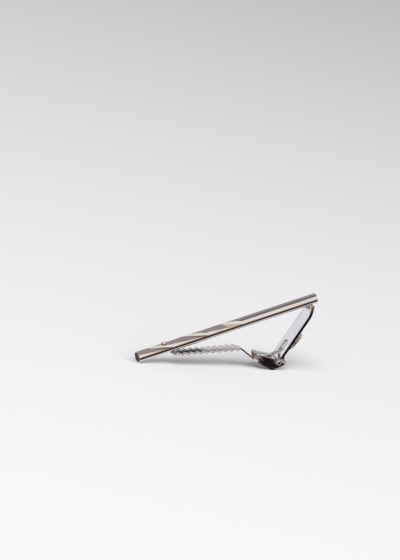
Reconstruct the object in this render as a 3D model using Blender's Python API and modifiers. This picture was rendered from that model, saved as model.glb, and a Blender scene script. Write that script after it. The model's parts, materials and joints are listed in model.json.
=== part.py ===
"""Tie clip: a round front rod with a hinged, toothed jaw held shut by a wishbone spring.

The clip is drawn in its own flat frame first: +X runs along the rod towards its hinge
end, +Z faces the front, +Y runs across, and x = 0, z = 0 is the rod's axis at the hinge
end. The whole clip then hangs on one empty, which turns it so that it stands on the
rod's free end and on the bottom of the jaw lever. All sizes are in metres.
"""

import math

import bmesh
import bpy
from mathutils import Matrix, Vector

# ---- front rod
ROD_LENGTH = 0.058
ROD_RADIUS = 0.0015
ROD_CHAMFER = 0.00012
ROD_SIDES = 56
CUT_COUNT = 3
CUT_FIRST = 0.0111        # the first cut's near end, in from the rod's free end
CUT_PITCH = 0.01145
CUT_RUN = 0.0075          # length of rod that each cut's deep line crosses
CUT_FAR_ANGLE = 60.0      # degrees round the rod where the deep line starts
CUT_NEAR_ANGLE = 170.0    # and where it ends
CUT_SLOPE = 3.5           # degrees at which the cut runs out towards the free end
CUT_WALL_LEAN = 0.45      # how far the steep wall leans back for each unit of height

# ---- crystal and its setting
CRYSTAL_FROM_FREE_END = 0.0087
CRYSTAL_RADIUS = 0.00064
CRYSTAL_TABLE_RADIUS = 0.00036
CRYSTAL_CROWN = 0.00026
CRYSTAL_PAVILION = 0.00036
CRYSTAL_GIRDLE = 0.00005
CUP_RADIUS = 0.00084
SEAT_DEPTH = 0.00032        # how deep the spot face lies under the rod's round
CUP_HEIGHT = 0.00044
CUP_PEG_RADIUS = 0.00038
CUP_PEG_LENGTH = 0.0006
CLAW_COUNT = 4
CLAW_RADIUS = 0.00012
CLAW_HEIGHT = 0.00022

# ---- back strap
STRAP_WIDTH = 0.0042
STRAP_THICKNESS = 0.001
STRAP_INSET = 0.00195      # centre of its top, in from the rod's hinge end
STRAP_HORN_HEIGHT = 0.0004  # how far its top rises beside the rod, over the rod's underside
STRAP_TOP_ANGLE = 70.0     # degrees to the rod where it leaves
STRAP_LEAN_ANGLE = 45.0    # degrees to the rod further down
STRAP_TOP_RUN = 0.0018
STRAP_BEND_RADIUS = 0.006
STRAP_STRAIGHT = 0.0149    # from the bend to the hinge
KNUCKLE_RADIUS = 0.001
SLOT_WIDTH = 0.0019
SLOT_LENGTH = 0.0043
SLOT_FROM_PIN = 0.0025

# ---- hinge
PIN_RADIUS = 0.00045
PIN_HEAD_RADIUS = 0.00078
PIN_HEAD_THICKNESS = 0.00028
PIN_FIT = 0.00004          # radial clearance in the strap's knuckle
EAR_FIT = 0.00002          # radial clearance in the lever's ears, which hold the pin
SIDE_FIT = 0.0001          # between the knuckle and each ear
SHOULDER_FIT = 0.0003      # between an ear's round end and the strap's shoulder
SHOULDER_STEP = 0.00008    # length over which the strap narrows to the knuckle

# ---- jaw lever
LEVER_THICKNESS = 0.00045
JAW_TIP_FROM_FREE_END = 0.0105
JAW_BOTTOM_FROM_HINGE_END = 0.0258  # where the toothed plate ends and the neck starts
JAW_BOTTOM_DEPTH = 0.0076  # below the rod's axis
NOSE_LENGTH = 0.0012       # along the rod, turned up to meet it
NOSE_DROP = 0.00063        # from the nose's tip down to the toothed plate
TOOTH_COUNT = 11
TOOTH_TIP_WIDTH = 0.0042
TOOTH_ROOT_WIDTH = 0.0022
TOOTH_MARGIN = 0.0004      # plain plate between the last tooth and the neck
NOSE_WIDTH = 0.0013
NOSE_RADIUS = 0.0008
NECK_RADIUS = 0.0009
NECK_WIDTH = 0.0024
NECK_TAPER = 0.0008        # length over which the plate narrows to the neck
FOLD = (-0.0070, 0.0028)   # offsets from the pin
FOLD_RADIUS = 0.0006
FOLD_FLARE = (0.0006, 0.0003)  # before and after the fold, where the neck widens to the base
BASE_CORNER = (-0.0021, -0.0017)
BASE_CORNER_RADIUS = 0.0009
HEEL_CORNER = (0.0026, -0.0012)
HEEL_CORNER_RADIUS = 0.0006
HEEL_TAPER = (0.0004, 0.0006)  # before and after the heel, where the base narrows to the tail
TAIL_START = (0.0022, 0.0011)  # along the strap from the pin, and out from its centre
TAIL_RADIUS = 0.0005
TAB_BEND = (0.0070, 0.00176)  # along the strap from the pin, and out from its centre
TAB_END = (0.0105, 0.0021)
TAB_BEND_RADIUS = 0.01
TAB_SWELL = (0.0024, 0.0040)   # after the tail's bend, where the tail widens to the tab
TAB_ROUNDING = ((0.0010, 1.0), (0.0003, 0.75), (0.0, 0.35))  # from its end, share of its width
TAB_WIDTH = 0.0029
TAIL_WIDTH = 0.0016
EAR_THICKNESS = 0.00045
EAR_ROUND_RADIUS = 0.001
EAR_HORN_RADIUS = 0.0004
EAR_FROM_FOLD = 0.0008     # along the base plate
EAR_FROM_HEEL = 0.0004

# ---- wishbone spring
SPRING_THICKNESS = 0.00022
SPRING_TIP = (-0.0061, 0.0041)  # offsets from the pin
SPRING_BOW_LENGTH = 0.0026
PRONG_WIDTH = 0.0013
PRONG_GAP_LENGTH = 0.0035
PRONG_SIDE_FIT = 0.0001    # between each prong and its ear
TONGUE_WIDTH = 0.0013
TONGUE_END_FROM_PIN = 0.0078
LUG_RADIUS = 0.00018
LUG_FIT = 0.00004
LUG_REACH = 0.0003         # how far a lug runs into its prong
LUG_FROM_SIDE = 0.0001     # and how far it stays within the ear's outer face
SPRING_BOW_RADIUS = 0.0015
SPRING_SLOT_RADIUS = 0.0003
PRONG_TAPER = 0.0007       # length over which the prongs run together into the tongue
FORK_FLAT = 0.0012         # length of the fork's gap with straight sides
FORK_END_WIDTH = 0.0004
TONGUE_ROUNDING = 0.0004
TONGUE_END_SHARE = 0.6     # of its width

# ---- solder
SOLDER_LEG = 0.0008
SOLDER_WIDTH = 0.0034
SOLDER_HOLLOW = 0.0001     # how far its face sinks towards the corner

TOUCH_GAP = 0.00004        # between pieces that touch on the real clip
ROUND_STEPS = 28

NICKEL = ("polished_nickel", (0.66, 0.64, 0.62), 1.0, 0.12)
STEEL = ("spring_steel", (0.50, 0.50, 0.50), 1.0, 0.25)
SOLDER = ("solder", (0.56, 0.54, 0.50), 1.0, 0.35)
CRYSTAL = ("clear_crystal", (0.92, 0.93, 0.95), 0.0, 0.02)


# ------------------------------------------------------------------ helpers


def clear_scene():
    for obj in list(bpy.data.objects):
        bpy.data.objects.remove(obj, do_unlink=True)


def collection_named(name):
    found = bpy.data.collections.new(name)
    bpy.context.scene.collection.children.link(found)
    return found


def material_for(finish):
    name, colour, metallic, roughness = finish
    found = bpy.data.materials.get(name)
    if found:
        return found
    made = bpy.data.materials.new(name)
    made.use_nodes = True
    shader = made.node_tree.nodes["Principled BSDF"]
    shader.inputs["Base Color"].default_value = (*colour, 1.0)
    shader.inputs["Metallic"].default_value = metallic
    shader.inputs["Roughness"].default_value = roughness
    made.diffuse_color = (*colour, 1.0)
    return made


def object_from(bm, name, collection, finish=None):
    mesh = bpy.data.meshes.new(name)
    bm.normal_update()
    bm.to_mesh(mesh)
    bm.free()
    obj = bpy.data.objects.new(name, mesh)
    collection.objects.link(obj)
    if finish:
        mesh.materials.append(material_for(finish))
        mesh.shade_smooth()
        mesh.set_sharp_from_angle(angle=math.radians(30))
    return obj


def hide_as_cutter(obj):
    obj.hide_render = True
    obj.display_type = "WIRE"
    return obj


def boolean(obj, other, operation):
    cut = obj.modifiers.new(f"{operation.lower()} {other.name}", "BOOLEAN")
    cut.operation = operation
    cut.object = other
    cut.solver = "EXACT"


def place_under(parent, *objects):
    for obj in objects:
        obj.parent = parent


def direction(degrees):
    return Vector((math.cos(math.radians(degrees)), math.sin(math.radians(degrees))))


def extruded(name, outline, travel, collection, finish=None):
    """A flat outline of points in space, filled and drawn out along travel."""
    bm = bmesh.new()
    face = bm.faces.new([bm.verts.new(point) for point in outline])
    made = bmesh.ops.extrude_face_region(bm, geom=[face])["geom"]
    moved = [item for item in made if isinstance(item, bmesh.types.BMVert)]
    bmesh.ops.translate(bm, verts=moved, vec=travel)
    bmesh.ops.recalc_face_normals(bm, faces=bm.faces)
    return object_from(bm, name, collection, finish)


def prism(name, outline, low, high, collection, finish=None):
    """A flat outline in X and Z, filled and given a thickness from y = low to y = high."""
    points = [(x, low, z) for x, z in outline]
    return extruded(name, points, (0, high - low, 0), collection, finish)


def cylinder(name, radius, low, high, centre, axis, collection):
    """A round bar from low to high along X, Y or Z through centre."""
    turn = {
        "X": Matrix.Rotation(math.radians(90), 4, "Y"),
        "Y": Matrix.Rotation(math.radians(-90), 4, "X"),
        "Z": Matrix.Identity(4),
    }[axis]
    middle = turn @ Vector((0, 0, (low + high) / 2))
    bm = bmesh.new()
    bmesh.ops.create_cone(
        bm,
        cap_ends=True,
        segments=ROUND_STEPS,
        radius1=radius,
        radius2=radius,
        depth=high - low,
        matrix=Matrix.Translation(Vector(centre) + middle) @ turn,
    )
    return object_from(bm, name, collection)


def turned(name, profile, collection, finish, steps=ROUND_STEPS):
    """A profile of (radius, height) points, top to bottom on its outer side, turned about Z."""
    bm = bmesh.new()
    points = [bm.verts.new((radius, 0, height)) for radius, height in profile]
    for first, second in zip(points, points[1:]):
        bm.edges.new((first, second))
    obj = object_from(bm, name, collection, finish)
    screw = obj.modifiers.new("turn", "SCREW")
    screw.steps = steps
    screw.render_steps = steps
    screw.use_merge_vertices = True
    screw.merge_threshold = 0.000001
    return obj


def route_through(corners, radii):
    """Points along straight runs whose inner corners are rounded with these radii."""
    points = [corners[0]]
    for before, corner, after, radius in zip(corners, corners[1:], corners[2:], radii):
        arriving = (corner - before).normalized()
        leaving = (after - corner).normalized()
        turn = arriving.angle_signed(leaving)
        reach = radius * math.tan(abs(turn) / 2)
        start = corner - arriving * reach
        side = 1 if arriving.x * leaving.y - arriving.y * leaving.x > 0 else -1
        centre = start + Vector((-arriving.y, arriving.x)) * radius * side
        steps = max(3, round(math.degrees(abs(turn)) / 8))
        for step in range(steps + 1):
            swing = Matrix.Rotation(side * abs(turn) * step / steps, 2)
            points.append(centre + swing @ (start - centre))
    points.append(corners[-1])
    return points


def lengths_along(points):
    total = [0.0]
    for first, second in zip(points, points[1:]):
        total.append(total[-1] + (second - first).length)
    return total


def point_at(points, lengths, distance):
    for index in range(1, len(points)):
        if distance <= lengths[index] or index == len(points) - 1:
            span = lengths[index] - lengths[index - 1]
            share = (distance - lengths[index - 1]) / span
            return points[index - 1].lerp(points[index], share)
    return points[-1]


def width_at(widths, distance):
    for (start, first), (end, second) in zip(widths, widths[1:]):
        if distance <= end:
            share = (distance - start) / (end - start) if end > start else 1.0
            return first + (second - first) * share
    return widths[-1][1]


def sheet_strip(name, points, widths, thickness, collection, finish):
    """A strip of sheet that follows points in X and Z, with its width set along the way."""
    lengths = lengths_along(points)
    stops = sorted(set(lengths) | {min(distance, lengths[-1]) for distance, _ in widths})
    tidy = [stops[0]]
    for stop in stops[1:]:
        if stop - tidy[-1] > 0.00002:
            tidy.append(stop)
    bm = bmesh.new()
    rows = []
    for stop in tidy:
        spot = point_at(points, lengths, stop)
        half = width_at(widths, stop) / 2
        rows.append([bm.verts.new((spot.x, side * half, spot.y)) for side in (-1, 1)])
    for first, second in zip(rows, rows[1:]):
        bm.faces.new((first[0], second[0], second[1], first[1]))
    bmesh.ops.recalc_face_normals(bm, faces=bm.faces)
    obj = object_from(bm, name, collection, finish)
    wall = obj.modifiers.new("sheet thickness", "SOLIDIFY")
    wall.thickness = thickness
    wall.offset = 0
    wall.use_even_offset = True
    return obj


# ------------------------------------------------------------------ layout


def strap_route():
    """The strap's centre line, from its top beside the rod down to the hinge."""
    top = Vector((-STRAP_INSET, -ROD_RADIUS + STRAP_HORN_HEIGHT))
    leaving = direction(180 + STRAP_TOP_ANGLE)
    leaning = direction(180 + STRAP_LEAN_ANGLE)
    reach = STRAP_BEND_RADIUS * math.tan(math.radians(STRAP_TOP_ANGLE - STRAP_LEAN_ANGLE) / 2)
    corner = top + leaving * (STRAP_TOP_RUN + reach)
    hinge = corner + leaning * (reach + STRAP_STRAIGHT)
    return route_through([top, corner, hinge], [STRAP_BEND_RADIUS])


def pin_centre():
    return strap_route()[-1]


def beside_strap(along, out):
    """An offset from the pin, given up the strap and out from its centre to the tab's side."""
    up = direction(STRAP_LEAN_ANGLE)
    outward = Vector((up.y, -up.x))
    return up * along + outward * out


def ear_inner():
    """Distance from the clip's middle to an ear's inner face."""
    return STRAP_WIDTH / 2 - EAR_THICKNESS


def arc_points(centre, radius, start, end, steps):
    """Points round part of a circle, from start to end in degrees."""
    turns = [start + (end - start) * step / steps for step in range(steps + 1)]
    return [centre + direction(turn) * radius for turn in turns]


def flat_to_space(point):
    return Vector((point.x, 0, point.y))


# ------------------------------------------------------------------ front rod


def round_point(degrees):
    return direction(degrees) * ROD_RADIUS


def wedge_cutter(index, cutters):
    """One diagonal wedge: deepest at its steep wall, running out towards the free end."""
    far, near = round_point(CUT_FAR_ANGLE), round_point(CUT_NEAR_ANGLE)
    corner = Vector((CUT_FIRST + index * CUT_PITCH - ROD_LENGTH, near.x, near.y))
    line = Vector((CUT_RUN, near.x - far.x, near.y - far.y)).normalized()
    slope = math.tan(math.radians(CUT_SLOPE))
    drop = far.y - near.y
    across = far.x - near.x
    tilt = math.acos(CUT_RUN * slope / math.hypot(across, drop)) - math.atan2(across, drop)
    normal = Vector((slope, -math.sin(tilt), math.cos(tilt))).normalized()
    sideways = normal.cross(line).normalized()
    if sideways.x > 0:
        sideways = -sideways
    reach, depth, rise = 0.02, 0.012, 0.004
    section = [(0, 0), (depth, 0), (depth, rise), (-CUT_WALL_LEAN * rise, rise)]
    start = corner - line * reach
    outline = [start + sideways * out + normal * up for out, up in section]
    cutter = extruded(f"wedge_cutter_{index + 1}", outline, line * 2 * reach, cutters)
    return hide_as_cutter(cutter)


def build_front_rod(parts, cutters):
    edge = ROD_RADIUS - ROD_CHAMFER
    profile = [
        (0, 0),
        (edge, 0),
        (ROD_RADIUS, -ROD_CHAMFER),
        (ROD_RADIUS, ROD_CHAMFER - ROD_LENGTH),
        (edge, -ROD_LENGTH),
        (0, -ROD_LENGTH),
    ]
    rod = turned("front_rod", profile, parts, NICKEL, ROD_SIDES)
    rod.rotation_euler = (0, math.radians(90), 0)
    for index in range(CUT_COUNT):
        boolean(rod, wedge_cutter(index, cutters), "DIFFERENCE")
    spot = crystal_spot()
    floor = seat_height()
    peg_floor = floor - CUP_PEG_LENGTH - TOUCH_GAP
    top = 2 * ROD_RADIUS
    face = cylinder("spot_face_cutter", CUP_RADIUS + TOUCH_GAP, floor, top, spot, "Z", cutters)
    hole = cylinder("peg_hole_cutter", CUP_PEG_RADIUS + TOUCH_GAP, peg_floor, top, spot, "Z", cutters)
    for cutter in (face, hole):
        boolean(rod, hide_as_cutter(cutter), "DIFFERENCE")
    return rod


# ------------------------------------------------------------------ crystal


def crystal_spot():
    return Vector((CRYSTAL_FROM_FREE_END - ROD_LENGTH, 0, 0))


def seat_height():
    """The spot face's height over the rod's axis."""
    return ROD_RADIUS - SEAT_DEPTH


def build_crystal_setting(parts, cutters):
    base = seat_height() + TOUCH_GAP
    rim = base + CUP_HEIGHT
    inner = CRYSTAL_RADIUS + TOUCH_GAP
    well = rim - CRYSTAL_PAVILION - TOUCH_GAP
    profile = [
        (0, well),
        (0.2 * inner, well),
        (inner, rim - TOUCH_GAP),
        (inner, rim),
        (CUP_RADIUS - TOUCH_GAP, rim),
        (CUP_RADIUS, rim - 0.4 * CUP_HEIGHT),
        (CUP_RADIUS - 2 * TOUCH_GAP, base),
        (CUP_PEG_RADIUS, base),
        (CUP_PEG_RADIUS, base - CUP_PEG_LENGTH),
        (0, base - CUP_PEG_LENGTH),
    ]
    cup = turned("crystal_setting", profile, parts, NICKEL, 24)
    cup.location = crystal_spot()
    ring = (inner + CUP_RADIUS) / 2 + CLAW_RADIUS / 4
    for index in range(CLAW_COUNT):
        around = direction(45 + 360 * index / CLAW_COUNT) * ring
        bm = bmesh.new()
        bmesh.ops.create_cone(
            bm,
            cap_ends=True,
            segments=10,
            radius1=CLAW_RADIUS,
            radius2=0.6 * CLAW_RADIUS,
            depth=2 * CLAW_HEIGHT,
            matrix=Matrix.Translation((around.x, around.y, rim)),
        )
        claw = object_from(bm, f"claw_{index + 1}", cutters)
        claw.location = crystal_spot()
        boolean(cup, hide_as_cutter(claw), "UNION")
    return cup


def build_crystal(parts):
    girdle = seat_height() + TOUCH_GAP + CUP_HEIGHT + TOUCH_GAP
    profile = [
        (0, girdle + CRYSTAL_GIRDLE + CRYSTAL_CROWN),
        (CRYSTAL_TABLE_RADIUS, girdle + CRYSTAL_GIRDLE + CRYSTAL_CROWN),
        (CRYSTAL_RADIUS - CLAW_RADIUS, girdle + CRYSTAL_GIRDLE),
        (CRYSTAL_RADIUS - CLAW_RADIUS, girdle),
        (0, girdle - CRYSTAL_PAVILION),
    ]
    crystal = turned("crystal", profile, parts, CRYSTAL, 16)
    crystal.location = crystal_spot()
    return crystal


# ------------------------------------------------------------------ strap


def slot_cutter(cutters):
    """A slot with half-round ends, through the strap square to its face."""
    radius = SLOT_WIDTH / 2
    low = SLOT_FROM_PIN + radius
    high = SLOT_FROM_PIN + SLOT_LENGTH - radius
    outline = arc_points(Vector((high, 0)), radius, -90, 90, 10)
    outline += arc_points(Vector((low, 0)), radius, 90, 270, 10)
    corners = []
    for point in outline:
        spot = pin_centre() + beside_strap(point.x, -STRAP_THICKNESS)
        corners.append((spot.x, point.y, spot.y))
    travel = flat_to_space(beside_strap(0, 2 * STRAP_THICKNESS))
    return hide_as_cutter(extruded("slot_cutter", corners, travel, cutters))


def build_back_strap(parts, cutters):
    """The strap, with its foot thickened into a knuckle that takes the hinge pin."""
    route = strap_route()
    whole = lengths_along(route)[-1]
    knuckle_width = 2 * (ear_inner() - SIDE_FIT)
    shoulder = whole - EAR_ROUND_RADIUS - SHOULDER_FIT
    widths = [
        (0.0, STRAP_WIDTH),
        (shoulder - SHOULDER_STEP, STRAP_WIDTH),
        (shoulder, knuckle_width),
        (whole, knuckle_width),
    ]
    strap = sheet_strip("back_strap", route, widths, STRAP_THICKNESS, parts, NICKEL)
    half = knuckle_width / 2 - TOUCH_GAP / 4
    pin = flat_to_space(pin_centre())
    knuckle = cylinder("knuckle_round", KNUCKLE_RADIUS, -half, half, pin, "Y", cutters)
    boolean(strap, hide_as_cutter(knuckle), "UNION")
    bore = PIN_RADIUS + PIN_FIT
    pin_hole = cylinder("knuckle_bore", bore, -STRAP_WIDTH, STRAP_WIDTH, pin, "Y", cutters)
    saddle = ROD_RADIUS + TOUCH_GAP
    bed = cylinder("saddle_cutter", saddle, -ROD_LENGTH, ROD_LENGTH, (0, 0, 0), "X", cutters)
    for cutter in (pin_hole, bed):
        boolean(strap, hide_as_cutter(cutter), "DIFFERENCE")
    boolean(strap, slot_cutter(cutters), "DIFFERENCE")
    return strap


def build_solder(parts, cutters):
    """The fillet in the corner between the rod's underside and the strap's inner face."""
    down = direction(180 + STRAP_TOP_ANGLE)
    inward = direction(180 + STRAP_TOP_ANGLE - 90)
    top = Vector((-STRAP_INSET, -ROD_RADIUS + STRAP_HORN_HEIGHT))
    face = top + inward * (STRAP_THICKNESS / 2 + TOUCH_GAP)
    low = face + down * (STRAP_HORN_HEIGHT / math.sin(math.radians(STRAP_TOP_ANGLE)) + SOLDER_LEG)
    side = Vector((low.x - SOLDER_LEG, -ROD_RADIUS))
    middle = (low + side) / 2 + Vector((SOLDER_HOLLOW, SOLDER_HOLLOW))
    over = -ROD_RADIUS + STRAP_HORN_HEIGHT
    outline = [face, low, middle, side, Vector((side.x, over))]
    fillet = prism("solder_fillet", outline, -SOLDER_WIDTH / 2, SOLDER_WIDTH / 2, parts, SOLDER)
    saddle = ROD_RADIUS + TOUCH_GAP
    bed = cylinder("solder_bed_cutter", saddle, -ROD_LENGTH, ROD_LENGTH, (0, 0, 0), "X", cutters)
    boolean(fillet, hide_as_cutter(bed), "DIFFERENCE")
    return fillet


# ------------------------------------------------------------------ hinge


def build_hinge_pin(parts, hinge):
    """A turned rivet with a low domed head at each end, held in the lever's ears."""
    half = STRAP_WIDTH / 2 + TOUCH_GAP
    crown = half + PIN_HEAD_THICKNESS
    rim = half + 0.6 * PIN_HEAD_THICKNESS
    shoulder = crown - 0.1 * PIN_HEAD_THICKNESS
    profile = [
        (0, crown),
        (0.6 * PIN_HEAD_RADIUS, shoulder),
        (PIN_HEAD_RADIUS, rim),
        (PIN_HEAD_RADIUS, half),
        (PIN_RADIUS, half),
        (PIN_RADIUS, -half),
        (PIN_HEAD_RADIUS, -half),
        (PIN_HEAD_RADIUS, -rim),
        (0.6 * PIN_HEAD_RADIUS, -shoulder),
        (0, -crown),
    ]
    pin = turned("hinge_pin", profile, parts, NICKEL)
    pin.rotation_euler = (math.radians(90), 0, 0)
    place_under(hinge, pin)
    return pin


# ------------------------------------------------------------------ jaw lever


def lever_corners():
    """The lever's corners as offsets from the pin, from the jaw's nose to the thumb tab."""
    pin = pin_centre()
    neck = Vector((-JAW_BOTTOM_FROM_HINGE_END, -JAW_BOTTOM_DEPTH))
    nose = Vector((JAW_TIP_FROM_FREE_END - ROD_LENGTH, 0))
    nose.y = -ROD_RADIUS - TOUCH_GAP - 0.62 * LEVER_THICKNESS
    nose_root = nose + Vector((NOSE_LENGTH, -NOSE_DROP))
    base = [Vector(FOLD), Vector(BASE_CORNER), Vector(HEEL_CORNER)]
    tail = [beside_strap(*TAIL_START), beside_strap(*TAB_BEND), beside_strap(*TAB_END)]
    return [nose - pin, nose_root - pin, neck - pin] + base + tail


def lever_route():
    base_radii = [FOLD_RADIUS, BASE_CORNER_RADIUS, HEEL_CORNER_RADIUS]
    radii = [NOSE_RADIUS, NECK_RADIUS] + base_radii + [TAIL_RADIUS, TAB_BEND_RADIUS]
    return route_through(lever_corners(), radii)


def lever_stations(route):
    """Distances along the lever to the nose root, neck, fold, base, heel and tail corners."""
    lengths = lengths_along(route)
    found = []
    for corner in lever_corners()[1:7]:
        nearest = min(range(len(route)), key=lambda index: (route[index] - corner).length)
        found.append(lengths[nearest])
    return found, lengths[-1]


def lever_widths(route):
    """(distance, width) along the lever: nose, teeth, neck, base plate and thumb tab."""
    (_, neck, fold, _, heel, tail), end = lever_stations(route)
    pitch = (neck - TOOTH_MARGIN) / TOOTH_COUNT
    base = 2 * (STRAP_WIDTH / 2 - TOUCH_GAP)
    widths = [(0.0, NOSE_WIDTH)]
    for tooth in range(TOOTH_COUNT):
        widths.append(((tooth + 0.5) * pitch, TOOTH_TIP_WIDTH))
        widths.append(((tooth + 1) * pitch, TOOTH_ROOT_WIDTH))
    widths += [
        (neck + NECK_TAPER, NECK_WIDTH),
        (fold - FOLD_FLARE[0], NECK_WIDTH),
        (fold + FOLD_FLARE[1], base),
        (heel - HEEL_TAPER[0], base),
        (heel + HEEL_TAPER[1], TAIL_WIDTH),
        (tail + TAB_SWELL[0], TAIL_WIDTH),
        (tail + TAB_SWELL[1], TAB_WIDTH),
    ]
    widths += [(end - back, TAB_WIDTH * share) for back, share in TAB_ROUNDING]
    return widths


def ear_outline():
    """An ear over the base plate: round about the pin, and round about the spring's lug."""
    route = lever_route()
    lengths = lengths_along(route)
    (_, _, fold, _, heel, _), _ = lever_stations(route)
    low, high = fold + EAR_FROM_FOLD, heel - EAR_FROM_HEEL
    inside = [spot for spot, length in zip(route, lengths) if low < length < high]
    base = [point_at(route, lengths, low)] + inside + [point_at(route, lengths, high)]
    horn_round = arc_points(Vector(SPRING_TIP), EAR_HORN_RADIUS, 60, 200, 4)
    pin_round = arc_points(Vector((0, 0)), EAR_ROUND_RADIUS, -10, 110, 8)
    return base + pin_round + horn_round


def build_jaw_lever(parts, cutters, hinge):
    route = lever_route()
    lever = sheet_strip("jaw_lever", route, lever_widths(route), LEVER_THICKNESS, parts, NICKEL)
    outer = STRAP_WIDTH / 2 - TOUCH_GAP / 2
    tip_x, tip_z = SPRING_TIP
    helpers = []
    for side, word in ((-1, "near"), (1, "far")):
        low, high = sorted((side * outer, side * ear_inner()))
        ear = prism(f"{word}_ear", ear_outline(), low, high, cutters)
        boolean(lever, hide_as_cutter(ear), "UNION")
        helpers.append(ear)
    bores = [("ear_bore", PIN_RADIUS + EAR_FIT, (0, 0, 0))]
    bores.append(("lug_bore", LUG_RADIUS + LUG_FIT, (tip_x, 0, tip_z)))
    for name, radius, place in bores:
        bore = cylinder(name, radius, -STRAP_WIDTH, STRAP_WIDTH, place, "Y", cutters)
        boolean(lever, hide_as_cutter(bore), "DIFFERENCE")
        helpers.append(bore)
    place_under(hinge, lever, *helpers)
    return lever


# ------------------------------------------------------------------ spring


def spring_route():
    """The wishbone's centre line: prong tips, bow, through the slot, up behind the strap."""
    half = SPRING_THICKNESS / 2
    edge = beside_strap(SLOT_FROM_PIN, -STRAP_THICKNESS / 2)
    level = edge.y + TOUCH_GAP + half
    bow = Vector((edge.x - SPRING_BOW_LENGTH, level))
    out = STRAP_THICKNESS / 2 + TOUCH_GAP + half
    exit_along = (level - beside_strap(0, out).y) / direction(STRAP_LEAN_ANGLE).y
    corners = [Vector(SPRING_TIP), bow, beside_strap(exit_along, out)]
    corners.append(beside_strap(TONGUE_END_FROM_PIN, out))
    return route_through(corners, [SPRING_BOW_RADIUS, SPRING_SLOT_RADIUS])


def build_spring(parts, cutters):
    route = spring_route()
    end = lengths_along(route)[-1]
    span = 2 * (ear_inner() - PRONG_SIDE_FIT)
    prongs = PRONG_GAP_LENGTH + PRONG_TAPER
    widths = [
        (0.0, span),
        (0.55 * PRONG_GAP_LENGTH, span),
        (prongs, TONGUE_WIDTH),
        (end - TONGUE_ROUNDING, TONGUE_WIDTH),
        (end, TONGUE_WIDTH * TONGUE_END_SHARE),
    ]
    spring = sheet_strip("wishbone_spring", route, widths, SPRING_THICKNESS, parts, STEEL)
    tip = Vector(SPRING_TIP)
    inner = span / 2 - PRONG_WIDTH
    clear = 0.003
    narrow = FORK_END_WIDTH / 2
    side = [(-clear, inner), (FORK_FLAT, inner), (PRONG_GAP_LENGTH, narrow)]
    gap = [(x, -y) for x, y in side] + side[::-1]
    corners = [(tip.x + x, y, tip.y - clear) for x, y in gap]
    fork = hide_as_cutter(extruded("fork_gap_cutter", corners, (0, 0, 2 * clear), cutters))
    boolean(spring, fork, "DIFFERENCE")
    helpers = [fork]
    for side, word in ((-1, "near"), (1, "far")):
        low, high = sorted((side * (inner + LUG_REACH), side * (STRAP_WIDTH / 2 - LUG_FROM_SIDE)))
        lug = cylinder(f"{word}_lug", LUG_RADIUS, low, high, flat_to_space(tip), "Y", cutters)
        boolean(spring, hide_as_cutter(lug), "UNION")
        helpers.append(lug)
    place = flat_to_space(pin_centre())
    for obj in [spring] + helpers:
        obj.location = place
    return spring


# ------------------------------------------------------------------ assembly


def corners_of(objects):
    """Every vertex of these objects as evaluated, in world space."""
    graph = bpy.context.evaluated_depsgraph_get()
    corners = []
    for obj in objects:
        evaluated = obj.evaluated_get(graph)
        mesh = evaluated.to_mesh()
        corners += [evaluated.matrix_world @ vertex.co for vertex in mesh.vertices]
        evaluated.to_mesh_clear()
    return corners


def stand_on_floor(stance, nodes, lever):
    """Turns the clip onto the rod's free end and the lever, and centres it on the origin."""
    bpy.context.view_layer.update()
    heel = Vector((ROD_CHAMFER - ROD_LENGTH, -ROD_RADIUS))
    slopes = [math.atan2(heel.y - spot.z, spot.x - heel.x) for spot in corners_of([lever])]
    stance.rotation_euler = (0, -max(slopes), 0)
    bpy.context.view_layer.update()
    corners = corners_of(nodes)
    low = [min(corner[axis] for corner in corners) for axis in range(3)]
    high = [max(corner[axis] for corner in corners) for axis in range(3)]
    stance.location = (-(low[0] + high[0]) / 2, -(low[1] + high[1]) / 2, -low[2])
    bpy.context.view_layer.update()


def main():
    clear_scene()
    parts = collection_named("tie_clip")
    cutters = collection_named("tie_clip_cutters")
    stance = bpy.data.objects.new("stance", None)
    hinge = bpy.data.objects.new("jaw_hinge", None)
    for empty in (stance, hinge):
        parts.objects.link(empty)
    hinge.location = flat_to_space(pin_centre())
    lever = build_jaw_lever(parts, cutters, hinge)
    nodes = [
        build_front_rod(parts, cutters),
        build_crystal_setting(parts, cutters),
        build_crystal(parts),
        build_back_strap(parts, cutters),
        build_solder(parts, cutters),
        build_hinge_pin(parts, hinge),
        build_spring(parts, cutters),
        lever,
    ]
    for obj in list(parts.objects) + list(cutters.objects):
        if obj is not stance and obj.parent is None:
            obj.parent = stance
    stand_on_floor(stance, nodes, lever)


main()
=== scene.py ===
"""The looks of a tie clip: a polished round rod with wedge cuts, a set crystal and a sprung jaw.

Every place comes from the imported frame. Sizes are in metres. RodFrame turns a place
given along the rod, across it and out of its front into the row's frame.
"""

import json
import logging
import math
from dataclasses import dataclass, field
from enum import Enum
from typing import Callable

import bmesh
import bpy
from mathutils import Matrix, Vector

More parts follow.
